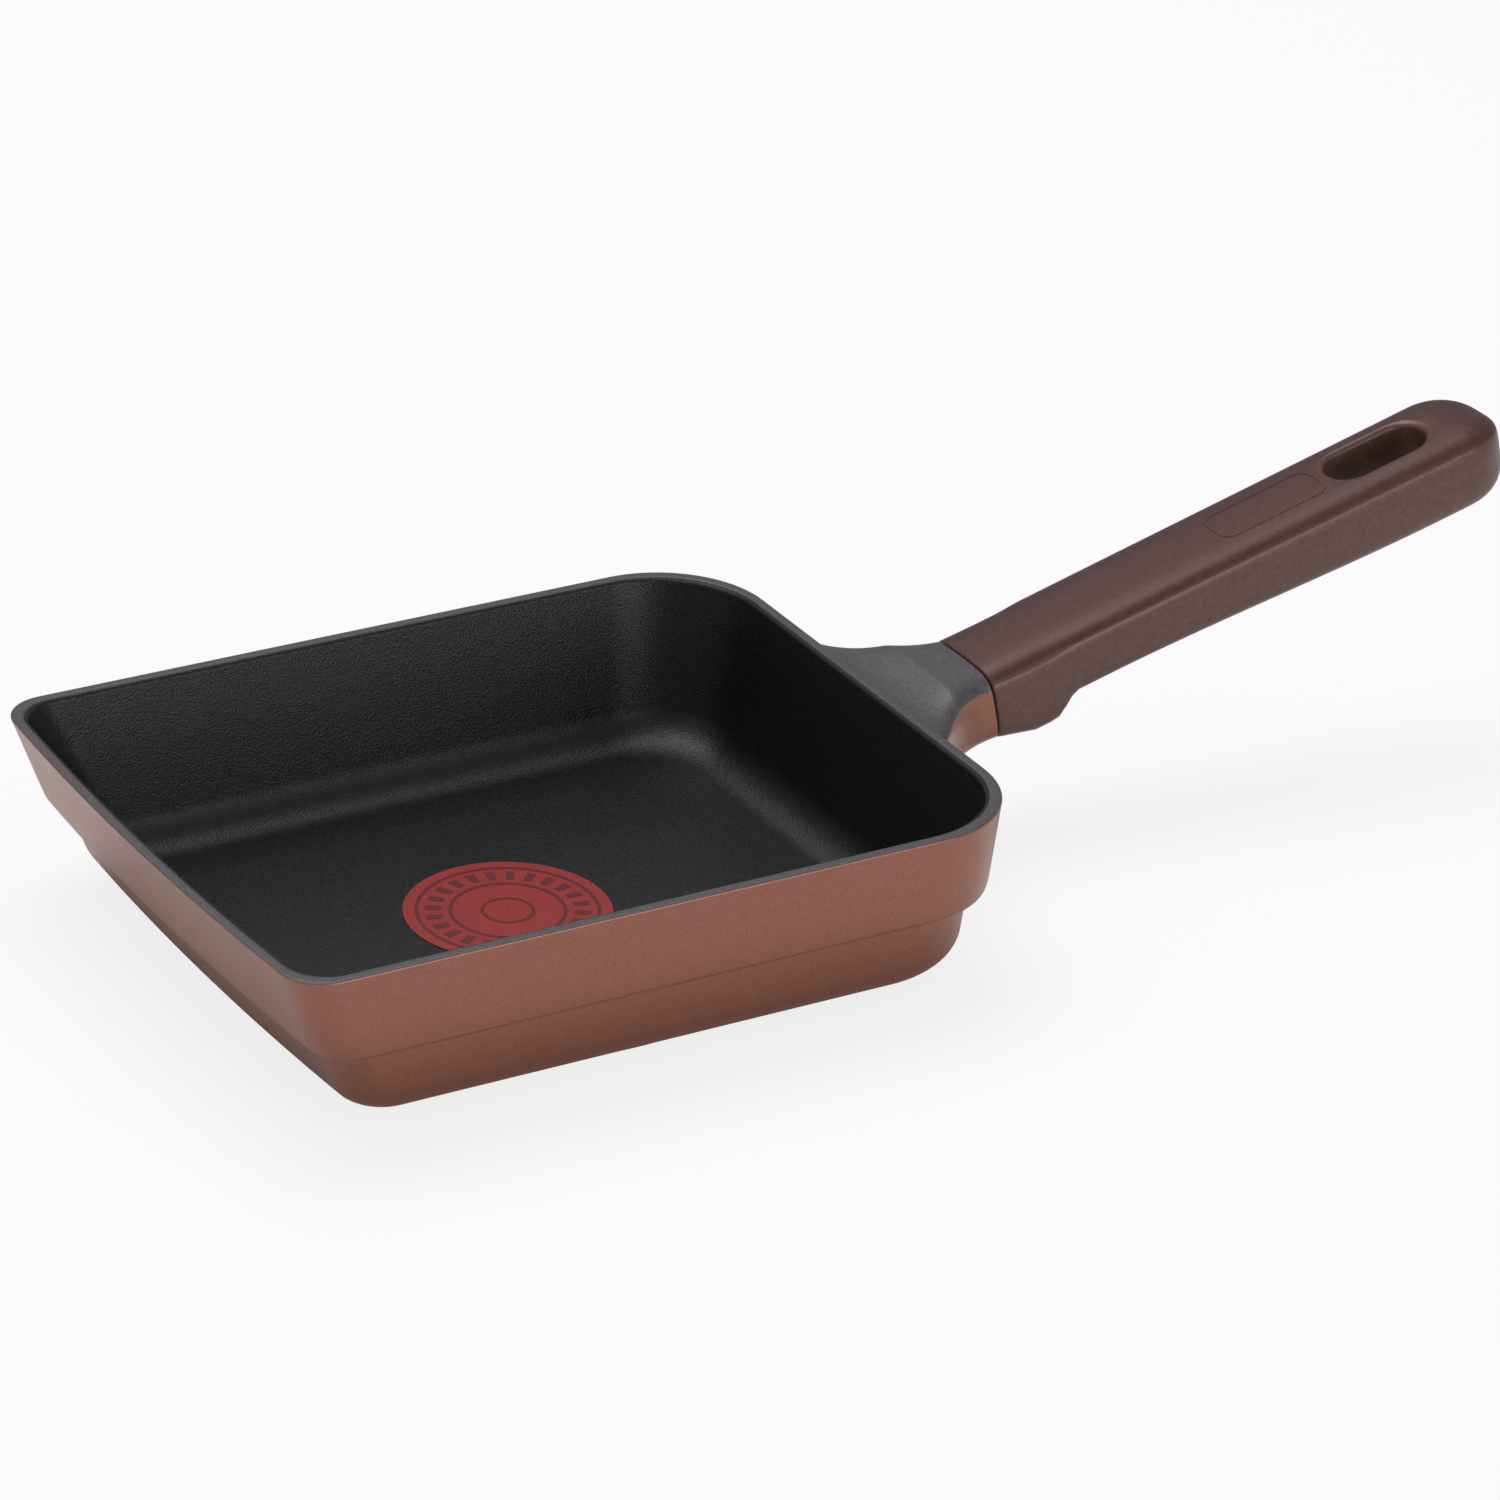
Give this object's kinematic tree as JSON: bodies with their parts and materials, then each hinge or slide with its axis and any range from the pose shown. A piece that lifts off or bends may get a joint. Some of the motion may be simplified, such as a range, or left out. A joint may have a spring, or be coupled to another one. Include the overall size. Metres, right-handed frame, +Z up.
{
  "type": "tamagoyaki pan",
  "caption": "Rectangular omelette pan with drafted stepped walls, a bowed pouring end, a flared neck and a fixed moulded handle with a hanging slot.",
  "frame": {"origin": "centre of the base disc's resting face", "axes": "+X along the handle away from the vessel, +Z up"},
  "size_m": [0.3469, 0.147, 0.0775],
  "materials": {
    "body_coat": "copper-bronze metallic paint, satin",
    "lining": "charcoal non-stick coating with fine sparkle",
    "indicator": "red heat-sensitive coating",
    "plate_steel": "brushed perforated stainless steel",
    "phenolic": "dark brown moulded phenolic, satin",
    "screw_steel": "stainless steel",
    "washer_steel": "spring steel"
  },
  "bodies": {
    "root": {"pan_body": "body_coat", "nonstick_lining": "lining", "heat_indicator": "indicator", "induction_plate": "plate_steel", "handle": "phenolic", "handle_screw": "screw_steel", "spring_washer": "washer_steel"}
  },
  "joints": []
}
